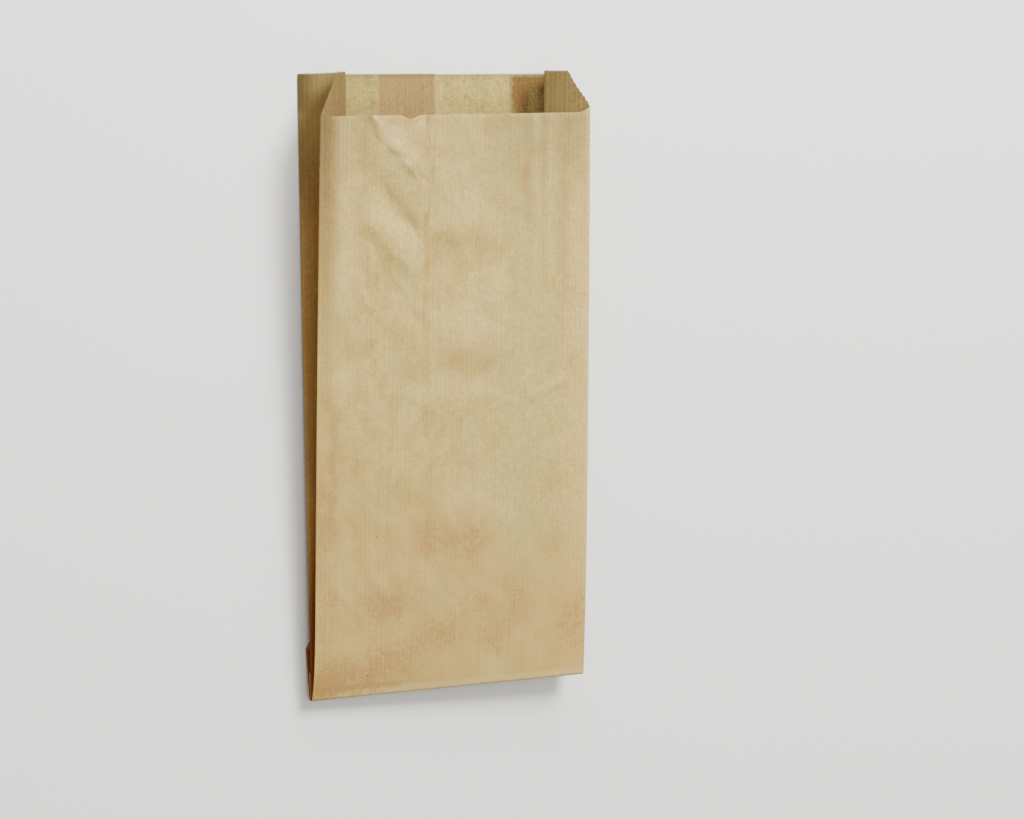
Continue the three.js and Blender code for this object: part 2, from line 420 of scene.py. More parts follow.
def front_trim(u):
    """How far the cut stands above its straight line."""
    across = np.clip((u - LEFT_FRONT) / WIDTH, 0, 1)
    dent = DENT_DEPTH * np.exp(-(((u - LEFT_FRONT - HALF - DENT_PLACE) / DENT_WIDTH) ** 2))
    corner = CORNER_RISE * np.clip(1 - (RIGHT_FRONT - u) / CORNER_WIDTH, 0, 1) ** 2
    trim = corner - LIP_SAG * (1 - across**2) - dent
    left_slant = np.clip((u - LEFT_SLANT) / (LEFT_FRONT - LEFT_SLANT), 0, 1)
    right_slant = np.clip((RIGHT_SLANT - u) / (RIGHT_SLANT - RIGHT_FRONT), 0, 1)
    return trim * left_slant * right_slant


for point in mesh.verts:
    near_cut = smooth(point.co.y, *FADE_DOWN) * (1 - smooth(point.co.y, *FADE_UP))
    point.co.y += float(front_trim(point.co.x) * near_cut)
bmesh.update_edit_mesh(bag.data)
shifts = front_trim(np.linspace(LEFT_FRONT, RIGHT_FRONT, COLUMNS))
print("the front edge is shifted by", shifts.min().round(1), "to", shifts.max().round(1), "mm")

# %% [markdown]
# ## Creasing
#
# A fold needs points on both sides of its line, and the tight turn of the bottom fold needs a
# dozen rows. The front panel gets a finer grid than the rest, because it carries the wrinkles, and
# the part with the smallest of them gets the finest. Two rows close to the mouth let the rim of
# the back panel be painted a little darker.

# %% Add points at the folds and on the front panel
SOFTNESS = 0.35  # half the width of an ordinary crease
TURN_ROWS = 12
RIM = (1.4, 2.2)  # so far below the cut the back's darker rim begins to fade, and ends
FINEST = {"left": -50, "right": -8, "low": 175}  # from the middle of the panel and the bottom fold
for u in CREASES:
    crease_column(u - SOFTNESS)
    crease_column(u + SOFTNESS)
for v in np.linspace(-2.2 * TURN_RADIUS, 1.1 * TURN_RADIUS, TURN_ROWS):
    crease_row(float(v))
for depth in RIM:
    crease_row(BACK_LENGTH - depth)
select_faces(LEFT_FRONT + SOFTNESS, RIGHT_FRONT - SOFTNESS)
bpy.ops.mesh.subdivide(number_cuts=1)
front_middle = LEFT_FRONT + HALF
select_faces(front_middle + FINEST["left"], front_middle + FINEST["right"], FINEST["low"], FRONT_LENGTH)
bpy.ops.mesh.subdivide(number_cuts=1)
bpy.ops.object.mode_set(mode="OBJECT")
print("the creased sheet has", len(bag.data.polygons), "faces")

# %% [markdown]
# While the sheet is flat, its own coordinates are saved as a UV map, in metres. Later the ribs,
# fibres and stains of the paper use it, so they follow the sheet around every fold.

# %% Save the flat sheet as the UV map
points = np.empty(len(bag.data.vertices) * 3)
bag.data.vertices.foreach_get("co", points)
flat = points.reshape(-1, 3)[:, :2].copy()
corner_points = np.empty(len(bag.data.loops), dtype=np.int32)
bag.data.loops.foreach_get("vertex_index", corner_points)
bag.data.uv_layers.active.name = "sheet"
bag.data.uv_layers.active.data.foreach_set("uv", (flat[corner_points] * MM).ravel())
print("UV map from", flat.min(axis=0), "to", flat.max(axis=0), "mm")

# %% [markdown]
# ## Wrinkles
#
# The front panel has been handled: a long crease runs down it left of the middle, slanting folds
# meet it like the bones of a herring, soft mounds swell on its right, and upright folds stand near
# the right edge. A cloth simulation makes other wrinkles every time its settings change, so these
# are listed one by one, as strokes and mounds. All sizes are in millimetres, from the middle of the
# panel and from the bottom fold. A positive height is a ridge and a negative one a valley.


# %% Strokes and mounds
def stroke(x, y, start, end, left, right, sharp=False):
    """1 along a line and less beside it, with a width for each side, seen from its start.

    A sharp stroke falls off at once, as a crease does, and a soft one like a bell.
    """
    run = (end[0] - start[0], end[1] - start[1])
    length = np.hypot(*run)
    beside = ((y - start[1]) * run[0] - (x - start[0]) * run[1]) / length
    along = ((x - start[0]) * run[0] + (y - start[1]) * run[1]) / length
    fade = min(2.5 * max(left, right), length / 2)
    ends = smooth(along, 0, fade) * (1 - smooth(along, length - fade, length))
    off = np.abs(beside) / np.where(beside > 0, left, right)
    return ends * (np.exp(-1.4 * off) if sharp else np.exp(-(off**2)))


def mound(x, y, middle, half_width, up, down):
    """1 at a place and less around it, with a width for the upper and the lower side."""
    tall = np.where(y > middle[1], up, down)
    return np.exp(-(((x - middle[0]) / half_width) ** 2) - ((y - middle[1]) / tall) ** 2)


# %% Where the wrinkles are
HERRINGBONE = [  # start, end, width on the left and on the right, height
    ((-48, 270), (-38.5, 251), 9.0, 1.9, 0.75),
    ((-42, 254), (-25, 244), 7.0, 1.2, 0.8),
    ((-31, 249), (-17, 232), 5.0, 1.5, 0.9),
    ((-24, 268), (-20, 236), 5.0, 5.0, 0.35),
    ((-49, 244), (-17, 207), 5.0, 5.0, -1.0),
    ((-34, 231), (-16, 207), 2.2, 2.8, -0.15),
    ((-53, 224), (-15, 186), 6.5, 3.4, 0.8),
    ((-48, 215), (-33, 188), 1.2, 3.0, -0.15),
    ((-37, 194), (-16, 168), 1.6, 3.6, -0.22),
    ((-31, 152), (-19, 137), 4.0, 4.0, -0.5),
    ((-13, 242), (-3, 249), 1.5, 1.5, -0.3),
    ((-12, 213), (7, 204), 7.0, 3.5, 0.45),
    ((8, 254), (30, 240), 5.0, 5.0, 0.25),
]
UPRIGHT_FOLDS = [
    ((40.0, 282), (39.5, 244), 2.0, 2.4, 0.6),
    ((39.0, 250), (40.0, 206), 2.0, 5.0, 0.5),
    ((46.8, 275), (46.8, 180), 3.4, 1.8, 0.5),
    ((52, 262), (52.5, 186), 1.5, 1.5, -0.25),
    ((59.5, 284), (59.5, 172), 7.0, 4.5, 0.8),
    ((44.5, 162), (40, 140), 3.5, 3.5, -0.5),
    ((-62.5, 290), (-62.5, 120), 7.0, 5.0, 0.65),
    ((-46.4, 216), (-46.4, 183), 1.5, 1.5, -0.25),
    ((70, 177), (57, 142), 5.5, 2.5, 1.0),
    ((28.5, 195), (26, 168), 2.2, 2.0, -0.7),
]
SHARP_CREASES = [
    ((-47, 266), (-38, 258), 0.8, 0.8, 0.35),
    ((-45.5, 264), (-38.8, 250.5), 0.8, 1.4, -0.15),
    ((-41, 254), (-32.5, 246.4), 0.8, 1.3, -0.65),
    ((-34.8, 247.8), (-25, 244), 0.8, 1.2, -0.55),
    ((-33, 255.4), (-28, 251.4), 0.7, 0.7, -0.3),
    ((-24.4, 249), (-23, 240.5), 0.7, 0.7, 0.3),
    ((-21, 246), (-19.2, 237), 0.7, 0.7, 0.35),
    ((-22, 237.5), (-20.2, 226.5), 0.7, 0.7, 0.25),
    ((-38.6, 234.6), (-33.6, 226), 0.8, 1.1, -0.35),
    ((-33.8, 228.6), (-27.4, 221), 0.8, 1.1, -0.3),
    ((-27, 224), (-18.8, 207), 0.8, 1.1, -0.4),
    ((-16.3, 268), (-15.6, 250), 0.8, 1.1, -1.1),
    ((-12.9, 243), (-16.4, 212), 1.8, 2.0, -0.9),
    ((-16.3, 222), (-17.2, 176), 1.8, 2.0, -0.75),
    ((-17, 186), (-16.4, 112), 1.6, 2.0, -0.7),
    ((-22, 238), (-13, 232), 1.0, 1.0, -0.3),
    ((62, 144), (48, 136.2), 1.3, 2.6, 1.5),
    ((51, 137.5), (35, 131.5), 1.3, 2.6, 1.2),
    ((-46, 10.4), (-43.5, 8.4), 0.8, 0.8, 0.15),
    ((-40.2, 5.5), (-41.6, -1), 0.8, 0.8, -0.3),
    ((16.6, 13), (16.6, -1), 0.7, 0.7, -0.2),
]
MOUNDS = [  # middle, half width, height above and below it, height
    ((2, 212), 17.0, 17.0, 7.0, 0.9),
    ((14, 195), 12.0, 6.0, 4.0, -0.5),
    ((4, 160), 21.0, 16.0, 11.0, 1.2),
    ((22, 180), 6.0, 7.0, 7.0, 0.5),
    ((2, 136), 18.0, 6.0, 9.0, 0.6),
    ((-58, 152), 9.0, 11.0, 9.0, -0.5),
    ((52, 110), 16.0, 20.0, 18.0, 0.6),
    ((-35, 110), 20.0, 16.0, 16.0, 0.6),
    ((5, 75), 22.0, 14.0, 9.0, 0.6),
    ((-30, 50), 18.0, 12.0, 8.0, 0.6),
    ((20, 38), 16.0, 10.0, 8.0, 0.5),
]


# %% Relief of the front panel
def front_relief(x, y):
    """How far the wrinkles lift the front panel.

    Slow waves give it faint swells, fast ones a fine cockle, and others bend the strokes a little,
    so that none of them is ruler-straight.
    """
    lift = 0.15 * np.sin(x / 11 + np.sin(y / 37)) * np.sin(y / 29 + 1.3)
    fine = 0.11 * np.sin(x / 2.3 + 2 * np.sin(y / 7)) * np.sin(y / 3.1 + 2 * np.sin(x / 8))
    bent_x = x + 1.1 * np.sin(y / 8.5) + 0.6 * np.sin(y / 3.6 + x / 9)
    bent_y = y + 1.1 * np.sin(x / 6.3 + 0.8) + 0.5 * np.sin(x / 2.7 - y / 12)
    for start, end, left, right, height in HERRINGBONE:
        lift += height * stroke(bent_x, bent_y, start, end, left, right)
    for start, end, left, right, height in UPRIGHT_FOLDS:
        lift += height * stroke(x, y, start, end, left, right)
    for middle, half_width, up, down, height in MOUNDS:
        lift += height * mound(bent_x, bent_y, middle, half_width, up, down)
    lift = (lift + fine) * smooth(y, 8, 50)
    wander = 0.5 * np.sin(y / 6.5) + 0.25 * np.sin(y / 2.7 + 1)
    for start, end, left, right, height in SHARP_CREASES:
        broken = 0.75 + 0.35 * np.sin(y / 3.9 + start[0])
        lift += height * broken * stroke(x + wander, y, start, end, left, right, sharp=True)
    return lift


strokes = HERRINGBONE + UPRIGHT_FOLDS + SHARP_CREASES
print("wrinkles:", len(strokes), "strokes and", len(MOUNDS), "mounds")

# %% [markdown]
# ## Folding
#
# The fold is worked out point by point from the flat sheet. Above the bottom fold, each panel is
# a straight line across the bag between two creases. A crease of real paper is a small round
# bend, so every point is the average of a few neighbours on the unrounded shape: that changes
# nothing in a flat panel and rounds each crease by half a millimetre.

# %% The shape of the tube
LAP_STEP = 4  # the inner layer steps down over this width beside the seam
FLAT_EDGE = 5  # wrinkles fade out this far from a crease


def tube(u, y):
    """Place across the bag and height of a point of the tube, before its creases are rounded."""
    x = np.empty_like(u)
    z = np.empty_like(u)

    # The left part of the back panel, whose lap lies on the other one.
    lap = u < LEFT_BACK
    x[lap] = LAP_INSIDE - u[lap]
    inner_lap = 1 - smooth(u[lap], LAP_END, LAP_END + LAP_STEP)
    z[lap] = panel_heights(x[lap], y[lap])[1] + (PAPER + AIR) * inner_lap

    # The rest of the back panel, with the lap that shows outside.
    outer = u > RIGHT_BACK
    x[outer] = HALF - (u[outer] - RIGHT_BACK)
    z[outer] = panel_heights(x[outer], y[outer])[1]

    # The front panel and its wrinkles.
    panel = (u >= LEFT_FRONT) & (u <= RIGHT_FRONT)
    x[panel] = u[panel] - LEFT_FRONT - HALF
    z[panel] = panel_heights(x[panel], y[panel])[0]
    fade = smooth(HALF - np.abs(x[panel]), 0, FLAT_EDGE)
    z[panel] += front_relief(x[panel], y[panel]) * fade

    # The gussets: one half runs from the front crease to the fold, the other from the back crease.
    for side, sign, crease, fold, far in (
        ("left", -1, LEFT_FRONT, LEFT_FOLD, LEFT_BACK),
        ("right", 1, RIGHT_FRONT, RIGHT_FOLD, RIGHT_BACK),
    ):
        top, bottom = crease_heights(side, y)
        fold_x, fold_z = gusset_fold(side, y)
        upper = (u > min(crease, fold)) & (u < max(crease, fold))
        lower = (u >= min(fold, far)) & (u <= max(fold, far)) & (u != fold)
        for half, start, start_z, groove in (
            (upper, crease, top - LAYER, GROOVE / 2),
            (lower, far, bottom + LAYER, -GROOVE / 2),
        ):
            t = np.abs(u[half] - start) / GUSSET
            x[half] = lerp(sign * HALF, fold_x[half], t)
            z[half] = lerp(start_z[half], fold_z[half] + groove, t)
        at_fold = u == fold
        x[at_fold] = fold_x[at_fold]
        z[at_fold] = fold_z[at_fold]
    return x, z


# %% Round the creases
CORNER_SOFTNESS = 0.6  # of the front crease at the right of the mouth
CORNER_REACH = 8  # how far across the sheet that softness goes
CORNER_FADE = (225, 262)  # and how it grows towards the mouth
NEIGHBOURS = 9  # how many places are averaged


def rounded_tube(u, y):
    """The tube with its creases rounded."""
    corner = np.exp(-(((u - RIGHT_FRONT) / CORNER_REACH) ** 2)) * smooth(y, *CORNER_FADE)
    reach = SOFTNESS + (CORNER_SOFTNESS - SOFTNESS) * corner
    steps = np.linspace(-1, 1, NEIGHBOURS)
    total_x = np.zeros_like(u)
    total_z = np.zeros_like(u)
    for step in steps:
        x, z = tube(np.clip(u + step * reach, 0, SHEET_WIDTH), y)
        total_x += x
        total_z += z
    return total_x / len(steps), total_z / len(steps)


# %% [markdown]
# At the bottom all layers turn together around one line, just under the back panel. The front
# panel is the outermost, so its turn is the widest. Beyond the turn the layers run back under the
# bag as the flap, whose free edge rests on the table.

# %% The bottom turn and the flap
FREE_EDGE = 0.06  # height of the flap's free edge
SPLAY = 0.3  # the inner layers of the flap slope this much less
ROUNDS = 4  # of the estimate of its slope, each closer than the one before


def flap_slope(axis):
    """Slope at which the outermost layer's free edge just reaches the table."""
    straight = FLAP_LENGTH - TURN_RADIUS * pi / 2
    slope = np.zeros_like(axis)
    for attempt in range(ROUNDS):
        turned = TURN_RADIUS * (np.cos(slope) + slope * np.sin(slope))
        slope = np.arcsin((axis - FREE_EDGE - turned) / straight)
    return slope


def fold_sheet(u, v):
    """The folded place of every point of the flat sheet."""
    x, z = rounded_tube(u, np.maximum(v, TURN_RADIUS))
    y = v.copy()
    turning = v < TURN_RADIUS
    axis = panel_heights(x[turning], TURN_RADIUS)[1] - INNER_TURN
    radius = z[turning] - axis
    travel = (TURN_RADIUS - v)[turning]
    slope = flap_slope(axis) * (1 - SPLAY * (1 - radius / TURN_RADIUS))
    angle = np.minimum(travel / radius, pi - slope)
    beyond = np.maximum(0, travel - radius * (pi - slope))
    y[turning] = TURN_RADIUS - radius * np.sin(angle) + beyond * np.cos(slope)
    z[turning] = axis + radius * np.cos(angle) - beyond * np.sin(slope)
    return np.column_stack([x, y + BOTTOM, z]) * MM


folded = fold_sheet(flat[:, 0], flat[:, 1])
bag.data.vertices.foreach_set("co", folded.ravel())
bag.data.update()
print("folded size", np.ptp(folded, axis=0).round(4), "lowest point", folded[:, 2].min().round(5))

# %% [markdown]
# ## Stains, painted shade and painted highlights
#
# Brown blotches, painted shade along creases and edges, paler patches, painted highlights on ridges
# and folds, and one dark speckled stain are painted as a colour attribute while the places on the
# sheet are still at hand. Red holds the brown of the blotches and of the painted shade, green the
# pale patches and the painted highlights, and blue the stain. The material gives their edges a
# grain. As for the wrinkles, all places are in millimetres, across from the middle of the front
# panel and up from the bottom fold.

# %% Where the marks are
# Brown blotches, and painted shade along creases and valleys, at the dent of the front edge and along the
# left edge.
BLOTCHES_AND_CREASE_SHADE = [  # start, end, width, amount
    ((-84, 0), (-6, 23), 9.0, 0.6),
    ((-78, 8), (-48, 11), 6.0, 0.4),
    ((-58, 36), (-12, 48), 8.0, 0.5),
    ((-47, 38), (-24, 43), 5.0, 0.35),
    ((-28, 29), (15, 26), 8.0, 0.45),
    ((-16, 27), (6, 27), 5.0, 0.3),
    ((6, 22), (38, 22), 7.0, 0.45),
    ((0, 42), (24, 42), 8.0, 0.45),
    ((25, 60), (38, 30), 8.0, 0.45),
    ((44, 42), (20, 24), 6.0, 0.3),
    ((-18, 98), (-12, 55), 6.5, 0.35),
    ((-22, 66), (26, 71), 10.0, 0.42),
    ((-16, 76), (-10, 62), 5.0, 0.25),
    ((1, 82), (20, 62), 6.5, 0.25),
    ((-42, 64), (-15, 65), 5.5, 0.3),
    ((68, 48), (58, 6), 7.0, 0.45),
    ((-61, 132), (-62, 70), 2.2, 0.5),
    ((-69, 102), (-66, 66), 3.0, 0.45),
    ((-69, 49), (-58, 46), 4.2, 0.4),
    ((-62, 182), (-50, 145), 10.0, 0.35),
    ((-42, 157), (-14, 136), 9.0, 0.35),
    ((-22, 152), (28, 152), 9.0, 0.25),
    ((-44, 238), (-15, 210), 3.4, 0.3),
    ((-47, 213), (-33, 190), 1.6, 0.3),
    ((-36, 194), (-15, 169), 2.4, 0.25),
    ((-42, 261.5), (-28, 261.5), 2.2, 0.5),
    ((-31, 261.5), (-19, 261.5), 1.6, 0.6),
    ((-20, 262), (-12, 262), 2.0, 0.4),
    ((36.5, 268), (35.5, 232), 1.8, 0.4),
    ((35.5, 246), (37.5, 210), 3.4, 0.5),
    ((-16.4, 264), (-16.0, 251), 0.7, 0.35),
    ((-17.8, 254.5), (-15.8, 244.5), 1.8, 0.6),
    ((-14.5, 262), (-13, 236), 1.3, 0.2),
    ((-13, 243), (-16.4, 212), 1.3, 0.3),
    ((-16.4, 222), (-16.8, 140), 1.3, 0.3),
    ((44.3, 264), (44.3, 196), 1.1, 0.3),
    ((50.6, 262), (51.0, 200), 1.1, 0.35),
    ((55.8, 252), (55.8, 190), 1.6, 0.35),
    ((-47, 268), (-47, 244), 1.8, 0.45),
    ((-66, 150), (-60, 124), 7.0, 0.3),
    ((-70, 5.0), (-24, 5.0), 0.9, 0.5),
]
# Paler patches, most of them painted highlights on ridges and on the lit sides of folds and creases; one
# is a pale spot near the bottom.
PALE_PATCHES_AND_HIGHLIGHTS = [
    ((-48, 268), (-18, 238), 5.0, 0.55),
    ((-40, 266), (-22, 248), 5.0, 0.35),
    ((-57, 280), (-55, 170), 5.5, 0.35),
    ((-50, 230), (-14, 198), 5.0, 0.4),
    ((-18, 222), (28, 226), 13.0, 0.35),
    ((-8, 240), (28, 246), 10.0, 0.3),
    ((-20, 167), (26, 172), 9.0, 0.45),
    ((17, 176), (27, 191), 5.0, 0.4),
    ((-20, 139), (24, 139), 5.0, 0.35),
    ((40.5, 272), (40, 250), 2.6, 0.45),
    ((48, 262), (48, 190), 2.6, 0.3),
    ((64, 235), (64, 60), 5.0, 0.25),
    ((-56, 252), (22, 252), 22.0, 0.35),
    ((69.2, 270), (69.2, 30), 1.3, 0.9),
    ((22.5, -2), (22.5, 20), 6.0, 0.9),
    ((-4, 106), (40, 62), 12.0, 0.25),
]
GREENER_PLACES = [  # start, end, width on the left and on the right, amount
    ((34, 300), (36, 110), 15, 12, 0.75),
    ((40, 190), (28, 30), 14, 12, 0.8),
]
print("marks:", len(BLOTCHES_AND_CREASE_SHADE), "blotches and", len(PALE_PATCHES_AND_HIGHLIGHTS), "paler patches")


# %% Blotches, patches, painted shade and painted highlights of the front panel
THIN = 4  # marks narrower than this are lines, mostly painted shade along creases, and keep a straighter edge
WIDE_STRENGTH = 0.85


def front_brown_and_shade(x, v):
    """Blotches and painted crease shade, over paper browner at the lower left, with painted shade along
    its left crease.
    """
    ragged_x = x + 1.8 * np.sin(v / 4.3 + x / 9) + 1.4 * np.sin(v / 1.9 - x / 3.1)
    ragged_y = v + 1.6 * np.sin(x / 3.7 + v / 11) + 1.2 * np.sin(x / 1.6 + v / 2.9)
    brown = 0.33 * (1 - smooth(v + 0.4 * x, 55, 135))
    for start, end, width, amount in BLOTCHES_AND_CREASE_SHADE:
        thin = width < THIN
        place = (x + 0.8 * np.sin(v / 3.3), v) if thin else (ragged_x, ragged_y)
        strength = amount if thin else WIDE_STRENGTH * amount
        brown += strength * stroke(*place, start, end, width, width)
    # Painted shade along the left crease, where the panel curves away from the light.
    left_edge_shade = 0.68 * (1 - smooth(x, -66, -56)) * (0.3 + 0.7 * smooth(v, 150, 240))
    return brown + left_edge_shade


def front_pale_and_highlights(x, v):
    """Paler patches and painted highlights, a painted highlight on the rounded bottom fold and one on the
    cut edge at the mouth.
    """
    pale = np.zeros_like(x)
    for start, end, width, amount in PALE_PATCHES_AND_HIGHLIGHTS:
        pale += amount * stroke(x, v, start, end, width, width)
    # Painted highlight on the rounded turn of the bottom fold.
    bottom_fold_highlight = (1 - smooth(v, 2.8, 4.4)) * (v > FOLD_LINE)
    # Painted highlight along the cut edge at the mouth.
    mouth_edge_highlight = 0.7 * smooth(v, FRONT_LENGTH - 1.6, FRONT_LENGTH - 0.4)
    return pale + bottom_fold_highlight + mouth_edge_highlight


# %% [markdown]
# The stain lies on the inside of the back panel, next to the right gusset. Close to the gusset its
# shadow falls on the paper, so less of the stain and more of the brown is painted there.


# %% Stain inside the mouth, and all marks together
def beside_gusset(u, v):
    """1 on the back panel, where the right gusset shades it, and 0 elsewhere."""
    back_x = HALF - (u - RIGHT_BACK)
    return smooth(back_x, 46.8, 51) * (1 - smooth(v, 270, 279)) * (u > RIGHT_BACK)


def mouth_stain(u, v):
    """The stain, which begins short of the toothed edge and is strongest a little below it."""
    back_x = HALF - (u - RIGHT_BACK)
    height = smooth(v, 246, 252) * (1 - smooth(v, 279.5, 282.5)) * (1 + 0.5 * smooth(v, 264, 273))
    return 1.5 * smooth(back_x, 38, 43.5) * height * (u > RIGHT_BACK)


def paint(u, v):
    """Brown, pale and stain amounts for every point of the sheet."""
    x = u - LEFT_FRONT - HALF
    on_front = (u > LEFT_FRONT) & (u < RIGHT_FRONT)
    on_seam = u < LAP_END
    on_gussets = ((u > LEFT_BACK) & (u < LEFT_FRONT)) | ((u > RIGHT_FRONT) & (u < RIGHT_BACK))
    # Browner paint on the gussets is painted shade and warm bounce light of their grooves; there is less
    # of it on the right gusset and near the top of the left one.
    gusset_shade_brown = 0.9 - 0.3 * (u > RIGHT_FRONT) - 0.4 * (u < LEFT_FRONT) * smooth(v, 268, 280)
    gusset_shade_brown -= 0.25 * (u < LEFT_FOLD) * smooth(v, 250, 268)
    shaded = beside_gusset(u, v)
    brown = front_brown_and_shade(x, v) * on_front + gusset_shade_brown * on_gussets + 0.75 * on_seam + 0.64 * shaded
    pale = front_pale_and_highlights(x, v) * on_front
    stain = mouth_stain(u, v) * (1 - 0.8 * shaded)
    return np.column_stack([brown, pale, stain, np.ones_like(u)])


# %% [markdown]
# A second attribute holds painted shade. The gussets, where little light shines through the folded
# layers and their grooves lie in shadow, get a darker and redder painted shade towards the bottom
# and more painted shade at the mouth. The pasted seam is darker than a single sheet, and the upper
# part of the front panel and the rim of the back one get painted shade too.


# %% Painted groove shade and painted shade
def gusset_shade(u, v):
    """Shade of the gussets. Deep in the left one it is less, because its own shadow is dark."""
    left = (u > LEFT_BACK) & (u < LEFT_FRONT)
    right = (u > RIGHT_FRONT) & (u < RIGHT_BACK)
    lower = left & (u < LEFT_FOLD)
    inward = np.clip(np.abs(u - np.where(left, LEFT_FRONT, RIGHT_FRONT)) / GUSSET, 0, 1)
    deep = smooth(np.abs(u - LEFT_FOLD) / GUSSET, 0.95, 0.5)
    shade = (left & ~lower) * (0.38 + 0.12 * inward) * smooth(v, 235, 268)
    shade += lower * (0.46 * smooth(v, 205, 243) + 0.27 * smooth(v, 262, 272)) * (1 - 0.45 * deep)
    # The painted groove shade darkens the lower part by itself, so a little painted shade is taken back
    # there.
    shade -= 0.13 * lower * smooth(v, 42, 58) * (1 - smooth(v, 88, 112))
    shade += right * (0.26 + 0.16 * inward) * smooth(v, 235, 268)
    return shade


def front_shade(x, v):
    """Shade of the front panel: its left edge, its upper corners, its top and a stripe at the right."""
    shade = 0.31 * (1 - smooth(x, -68, -58)) * smooth(v, 130, 240)
    shade += 0.17 * smooth(v, 222, 262) * (1 - smooth(x, -50, -40) + smooth(x, 4, 24))
    shade += 0.09 * smooth(v, 185, 245)
    shade += 0.1 * smooth(v, 215, 250) * smooth(x, 50, 58) * (1 - smooth(x, 66, 68.5))
    return shade


def back_shade(u, v):
    """Shade of the back panel: its seam, the stretch from there to the left gusset, and its rim."""
    on_back = (u < LEFT_BACK) | (u > RIGHT_BACK)
    rim = smooth(v, BACK_LENGTH - RIM[1], BACK_LENGTH - RIM[0]) * on_back
    return 0.2 * (u < LAP_END) + 0.1 * (u >= LAP_END) * (u < LEFT_BACK) + 0.1 * rim


def painted_shade(u, v):
    """How much painted groove shade and painted shade every point of the sheet gets."""
    left = (u > LEFT_BACK) & (u < LEFT_FRONT)
    right = (u > RIGHT_FRONT) & (u < RIGHT_BACK)
    on_front = (u >= LEFT_FRONT) & (u <= RIGHT_FRONT)
    # Painted shade in the gussets' grooves, darker and redder towards the bottom, for shadow and warm
    # bounce light.
    groove_shade = (left + 0.7 * right) * (0.2 * (1 - smooth(v, 225, 250)) + 0.8 * (1 - smooth(v, 18, 98)))
    shade = gusset_shade(u, v) + front_shade(u - LEFT_FRONT - HALF, v) * on_front + back_shade(u, v)
    return np.column_stack([groove_shade, shade, np.zeros_like(u), np.ones_like(u)])


# %% [markdown]
# A third attribute holds the cast: the front panel is a little greener on its right, and a little
# pinker along its right side and near the bottom. Its right crease gets the full pink, a painted
# highlight on the crease's rounding.


# %% Greener and pinker places
def cast(u, v):
    """How green and how pink the front panel is."""
    x = u - LEFT_FRONT - HALF
    on_front = (u >= LEFT_FRONT) & (u <= RIGHT_FRONT)
    greener = np.zeros_like(u)
    for start, end, left, right, amount in GREENER_PLACES:
        greener += amount * stroke(x, v, start, end, left, right)
    pinker = 0.75 * smooth(x, 52, 64) * (1 - smooth(v, 255, 270)) + 0.5 * (1 - smooth(v, 10, 70))
    # The right crease gets the full pink: a painted highlight on its rounding.
    pinker = np.maximum(pinker, smooth(x, 66.5, 68.5))
    return np.column_stack([greener * on_front, pinker * on_front, np.zeros_like(u), np.ones_like(u)])


# %% Store the three attributes
painted = {"marks": paint(*flat.T), "painted_shade": painted_shade(*flat.T), "cast": cast(*flat.T)}
for name, values in painted.items():
    layer = bag.data.color_attributes.new(name, "FLOAT_COLOR", "POINT")
    layer.data.foreach_set("color", values.ravel())
print("painted", list(painted), "on", len(flat), "points")

# %% [markdown]
# ## The paper
#
# Ribbed kraft paper is brown with a slight gloss outside. Close up it shows fine upright ribs,
# a cloud of denser and thinner places, and single fibres. All of it is worked out from the UV map
# of the flat sheet. Small helpers wire the nodes, so that each step reads as one line.


# %% Node helpers
def feed(tree, socket, value):
    """Wire an output into a socket, or set the socket to a plain value."""
    if isinstance(value, bpy.types.NodeSocket):
        tree.links.new(value, socket)
    else:
        socket.default_value = value


def calc(tree, operation, first, second=0.0):
    """One step of arithmetic on one value or two."""
    node = tree.nodes.new("ShaderNodeMath")
    node.operation = operation
    feed(tree, node.inputs[0], first)
    feed(tree, node.inputs[1], second)
    return node.outputs[0]


def ramp(tree, value, start, end, low=0.0, high=1.0):
    """A soft step from low to high as the value goes from start to end."""
    node = tree.nodes.new("ShaderNodeMapRange")
    node.interpolation_type = "SMOOTHSTEP"
    for socket, amount in zip(node.inputs, (value, start, end, low, high)):
        feed(tree, socket, amount)
    return node.outputs[0]


def tint(tree, amount, first, second):
    """The first colour where the amount is 0, the second where it is 1."""
    node = tree.nodes.new("ShaderNodeMix")
    node.data_type = "RGBA"
    feed(tree, node.inputs["Factor"], amount)
    for socket, colour in zip((node.inputs[6], node.inputs[7]), (first, second)):
        feed(tree, socket, colour)
    return node.outputs[2]


def grain(tree, sheet, size, stretch=1.0, detail=3.0):
    """Noise whose spots are about one size across, in millimetres, and longer along the bag."""
    place = tree.nodes.new("ShaderNodeMapping")
    tree.links.new(sheet, place.inputs["Vector"])
    place.inputs["Scale"].default_value = (PER_METRE / size, PER_METRE / size / stretch, 1)
    noise = tree.nodes.new("ShaderNodeTexNoise")
    noise.inputs["Scale"].default_value = 1.0
    noise.inputs["Detail"].default_value = detail
    tree.links.new(place.outputs["Vector"], noise.inputs["Vector"])
    return noise.outputs[0]


# %% [markdown]
# The colour is built up in layers: first the clouded pulp, then the painted places with their
# painted shade and painted highlights, then the stain. The paint on the points of the mesh has soft
# edges, and the noises break them up into spots that are finer than the mesh. Last comes a factor
# that darkens the colour: painted shade for the ribs, the folded layers, the panel's top and edges
# and the back's rim, and the grain of the fibres and two specks of bark.


# %% Grains and painted layers
def varied(tree, noise, amount):
    """A factor around 1 that follows a noise."""
    return calc(tree, "ADD", calc(tree, "MULTIPLY", calc(tree, "SUBTRACT", noise, 0.5), amount), 1.0)


def layer_channels(tree, name):
    """The red, green and blue of a painted layer."""
    painted_layer = tree.nodes.new("ShaderNodeVertexColor")
    painted_layer.layer_name = name
    channels = tree.nodes.new("ShaderNodeSeparateColor")
    tree.links.new(painted_layer.outputs[0], channels.inputs[0])
    return channels.outputs[:3]


